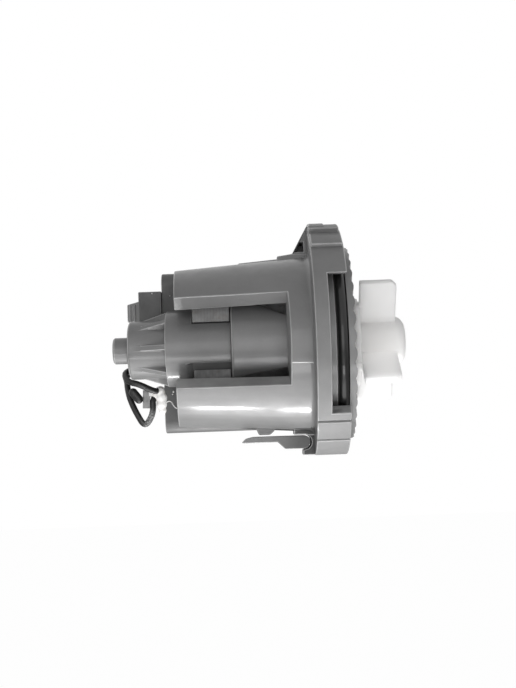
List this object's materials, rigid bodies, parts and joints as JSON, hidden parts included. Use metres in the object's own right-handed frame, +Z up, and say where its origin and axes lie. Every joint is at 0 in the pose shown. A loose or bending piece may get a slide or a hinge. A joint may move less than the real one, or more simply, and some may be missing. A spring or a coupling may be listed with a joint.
{
  "type": "drain pump",
  "caption": "Dishwasher drain pump: sealed synchronous motor, bayonet flange with O-ring and latch lever, and a bladed impeller.",
  "frame": {"origin": "on the shaft's axis, in the front face of the flange ring, which seats on the sump", "axes": "+X along the shaft towards the impeller, +Z up through the top lug, -Y towards the side that the picture shows"},
  "size_m": [0.0966, 0.0781, 0.0767],
  "materials": {
    "housing_plastic": "glass-filled grey moulding, satin",
    "cover_plastic": "grey moulding, satin",
    "block_plastic": "dark grey moulding, matte",
    "impeller_plastic": "white moulding, satin",
    "seal_rubber": "black rubber with a greasy sheen",
    "core_steel": "stacked steel sheets under grey varnish",
    "bobbin_plastic": "natural nylon",
    "winding_copper": "enamelled copper wire",
    "contact_tin": "tinned metal",
    "bearing_carbon": "sintered carbon",
    "shaft_steel": "ground stainless steel",
    "magnet_ferrite": "moulded ferrite",
    "lead_insulation": "black silicone insulation",
    "hot_glue": "milky hot-melt glue"
  },
  "bodies": {
    "housing": {"flange_housing": "housing_plastic", "front_plate": "cover_plastic", "sump_o_ring": "seal_rubber", "can_seal": "seal_rubber", "rotor_can": "cover_plastic", "motor_cover": "cover_plastic", "stator_core": "core_steel", "bobbin_upper": "bobbin_plastic", "bobbin_lower": "bobbin_plastic", "winding_upper": "winding_copper", "winding_lower": "winding_copper", "coil_housing": "block_plastic", "coil_lid": "block_plastic", "connector_socket": "block_plastic", "connector_tongue": "cover_plastic", "contacts": "contact_tin", "rear_bearing": "bearing_carbon", "rear_bearing_holder": "seal_rubber", "front_bearing": "bearing_carbon", "front_bearing_holder": "seal_rubber", "thrust_washers": "bobbin_plastic", "shaft_seal": "seal_rubber", "lead_short": "lead_insulation", "lead_loop": "lead_insulation", "crimp_terminal": "contact_tin", "thermal_cutout": "lead_insulation", "glue_blob": "hot_glue"},
    "impeller_shaft": {"shaft": "shaft_steel", "impeller": "impeller_plastic", "drive_dog": "bobbin_plastic", "dog_dampers": "seal_rubber"},
    "rotor": {"rotor_sleeve": "bobbin_plastic", "rotor_magnet": "magnet_ferrite"},
    "latch": {"latch_lever": "housing_plastic"}
  },
  "joints": [
    {"name": "shaft_spin", "type": "hinge", "parent": "housing", "child": "impeller_shaft", "pos_m": [0, 0, 0], "axis": [1, 0, 0], "continuous": true},
    {"name": "rotor_lost_motion", "type": "hinge", "parent": "impeller_shaft", "child": "rotor", "pos_m": [0, 0, 0], "axis": [1, 0, 0], "range_deg": [-90, 90]},
    {"name": "latch_flex", "type": "hinge", "parent": "housing", "child": "latch", "pos_m": [-0.008, 0, -0.0322], "axis": [0, 1, 0], "range_deg": [0, 2], "stiffness_Nm_per_rad": 0.5}
  ]
}
